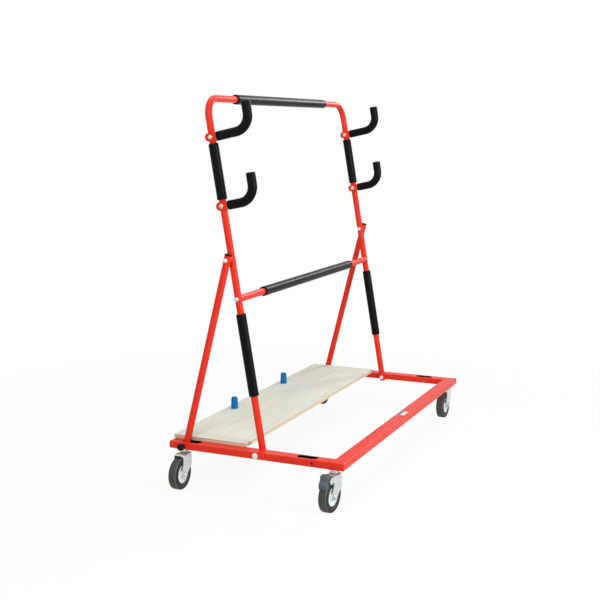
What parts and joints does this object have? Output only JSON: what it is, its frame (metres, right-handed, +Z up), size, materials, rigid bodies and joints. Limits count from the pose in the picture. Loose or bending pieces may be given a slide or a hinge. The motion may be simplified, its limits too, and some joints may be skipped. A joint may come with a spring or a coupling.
{
  "type": "sheet goods cart",
  "caption": "Rolling cart for boards and sheets: rectangular tube base on swivel casters with a plywood deck, and a folding A-frame with foam sleeves and padded hooks.",
  "frame": {"origin": "on the floor under the middle of the overall bounding box", "axes": "+X along the cart, from the end at the left of the picture to the far end; +Y to the back, where the deck and braces are; +Z up"},
  "size_m": [1.2788, 0.5958, 1.2257],
  "materials": {
    "red_paint": "gloss powder coat",
    "foam": "matte foam",
    "plywood": "pale plywood",
    "blue_plastic": "satin",
    "zinc": "zinc plated",
    "grey_wheel": "moulded",
    "tyre": "matte rubber",
    "grey_plastic": "moulded",
    "black_plastic": "moulded"
  },
  "bodies": {
    "base": {"left_rail": "red_paint", "right_rail": "red_paint", "front_rail": "red_paint", "left_rail_end_plate": "red_paint", "right_rail_end_plate": "red_paint", "deck": "plywood", "left_stop_peg": "blue_plastic", "right_stop_peg": "blue_plastic", "left_pivot_bolt": "zinc", "right_pivot_bolt": "zinc", "front_left_caster_mount": "zinc", "front_right_caster_mount": "zinc", "rear_left_caster_mount": "zinc", "rear_right_caster_mount": "zinc"},
    "back_frame": {"upright_frame": "red_paint", "cross_bar": "red_paint", "top_bar_sleeve": "foam", "cross_bar_sleeve": "foam", "left_upper_sleeve": "foam", "left_lower_sleeve": "foam", "left_cross_bar_bolt": "zinc", "left_brace_bolt": "zinc", "left_upper_hook": "red_paint", "left_upper_hook_sleeve": "foam", "left_upper_hook_bolt": "zinc", "left_lower_hook": "red_paint", "left_lower_hook_sleeve": "foam", "left_lower_hook_bolt": "zinc", "right_upper_sleeve": "foam", "right_lower_sleeve": "foam", "right_cross_bar_bolt": "zinc", "right_brace_bolt": "zinc", "right_upper_hook": "red_paint", "right_upper_hook_sleeve": "foam", "right_upper_hook_bolt": "zinc", "right_lower_hook": "red_paint", "right_lower_hook_sleeve": "foam", "right_lower_hook_bolt": "zinc"},
    "left_brace": {"left_brace": "red_paint"},
    "left_clamp": {"left_clamp_knob": "black_plastic"},
    "right_brace": {"right_brace": "red_paint"},
    "right_clamp": {"right_clamp_knob": "black_plastic"},
    "front_left_swivel": {"front_left_fork": "zinc", "front_left_axle": "zinc"},
    "front_left_wheel_set": {"front_left_wheel": "grey_wheel", "front_left_tyre": "tyre"},
    "front_left_brake": {"front_left_brake_pedal": "grey_plastic"},
    "front_right_swivel": {"front_right_fork": "zinc", "front_right_axle": "zinc"},
    "front_right_wheel_set": {"front_right_wheel": "grey_wheel", "front_right_tyre": "tyre"},
    "rear_left_swivel": {"rear_left_fork": "zinc", "rear_left_axle": "zinc"},
    "rear_left_wheel_set": {"rear_left_wheel": "grey_wheel", "rear_left_tyre": "tyre"},
    "rear_right_swivel": {"rear_right_fork": "zinc", "rear_right_axle": "zinc"},
    "rear_right_wheel_set": {"rear_right_wheel": "grey_wheel", "rear_right_tyre": "tyre"},
    "rear_right_brake": {"rear_right_brake_pedal": "grey_plastic"}
  },
  "joints": [
    {"name": "frame_fold", "type": "hinge", "parent": "base", "child": "back_frame", "pos_m": [0.02009, -0.0079, 0.137], "axis": [1, 0, 0], "range_deg": [0, 90]},
    {"name": "left_brace_swing", "type": "hinge", "parent": "back_frame", "child": "left_brace", "pos_m": [-0.55591, 0.09319, 0.72842], "axis": [1, 0, 0], "range_deg": [-18, 0]},
    {"name": "left_clamp_turn", "type": "hinge", "parent": "base", "child": "left_clamp", "pos_m": [-0.58321, 0.24492, 0.137], "axis": [-1, 0, 0], "range_deg": [0, 360]},
    {"name": "right_brace_swing", "type": "hinge", "parent": "back_frame", "child": "right_brace", "pos_m": [0.59609, 0.09319, 0.72842], "axis": [1, 0, 0], "range_deg": [-18, 0]},
    {"name": "right_clamp_turn", "type": "hinge", "parent": "base", "child": "right_clamp", "pos_m": [0.62339, 0.24492, 0.137], "axis": [1, 0, 0], "range_deg": [0, 360]},
    {"name": "front_left_swivel", "type": "hinge", "parent": "base", "child": "front_left_swivel", "pos_m": [-0.55791, -0.2599, 0.115], "axis": [0, 0, 1], "continuous": true},
    {"name": "front_left_roll", "type": "hinge", "parent": "front_left_swivel", "child": "front_left_wheel_set", "pos_m": [-0.58879, -0.2572, 0.05], "axis": [0.0872, 0.9962, 0], "continuous": true},
    {"name": "front_left_brake_press", "type": "hinge", "parent": "front_left_swivel", "child": "front_left_brake", "pos_m": [-0.60971, -0.25537, 0.101], "axis": [-0.0872, -0.9962, 0], "range_deg": [0, 4]},
    {"name": "front_right_swivel", "type": "hinge", "parent": "base", "child": "front_right_swivel", "pos_m": [0.59809, -0.2599, 0.115], "axis": [0, 0, 1], "continuous": true},
    {"name": "front_right_roll", "type": "hinge", "parent": "front_right_swivel", "child": "front_right_wheel_set", "pos_m": [0.56709, -0.2599, 0.05], "axis": [0, 1, 0], "continuous": true},
    {"name": "rear_left_swivel", "type": "hinge", "parent": "base", "child": "rear_left_swivel", "pos_m": [-0.55791, 0.2521, 0.115], "axis": [0, 0, 1], "continuous": true},
    {"name": "rear_left_roll", "type": "hinge", "parent": "rear_left_swivel", "child": "rear_left_wheel_set", "pos_m": [-0.58891, 0.2521, 0.05], "axis": [0, 1, 0], "continuous": true},
    {"name": "rear_right_swivel", "type": "hinge", "parent": "base", "child": "rear_right_swivel", "pos_m": [0.59809, 0.2521, 0.115], "axis": [0, 0, 1], "continuous": true},
    {"name": "rear_right_roll", "type": "hinge", "parent": "rear_right_swivel", "child": "rear_right_wheel_set", "pos_m": [0.56709, 0.2521, 0.05], "axis": [0, 1, 0], "continuous": true},
    {"name": "rear_right_brake_press", "type": "hinge", "parent": "rear_right_swivel", "child": "rear_right_brake", "pos_m": [0.54609, 0.2521, 0.101], "axis": [0, -1, 0], "range_deg": [0, 4]}
  ],
  "couplings": [
    {"joint": "left_brace_swing", "follows": "frame_fold", "ratio": -0.2},
    {"joint": "right_brace_swing", "follows": "frame_fold", "ratio": -0.2}
  ]
}
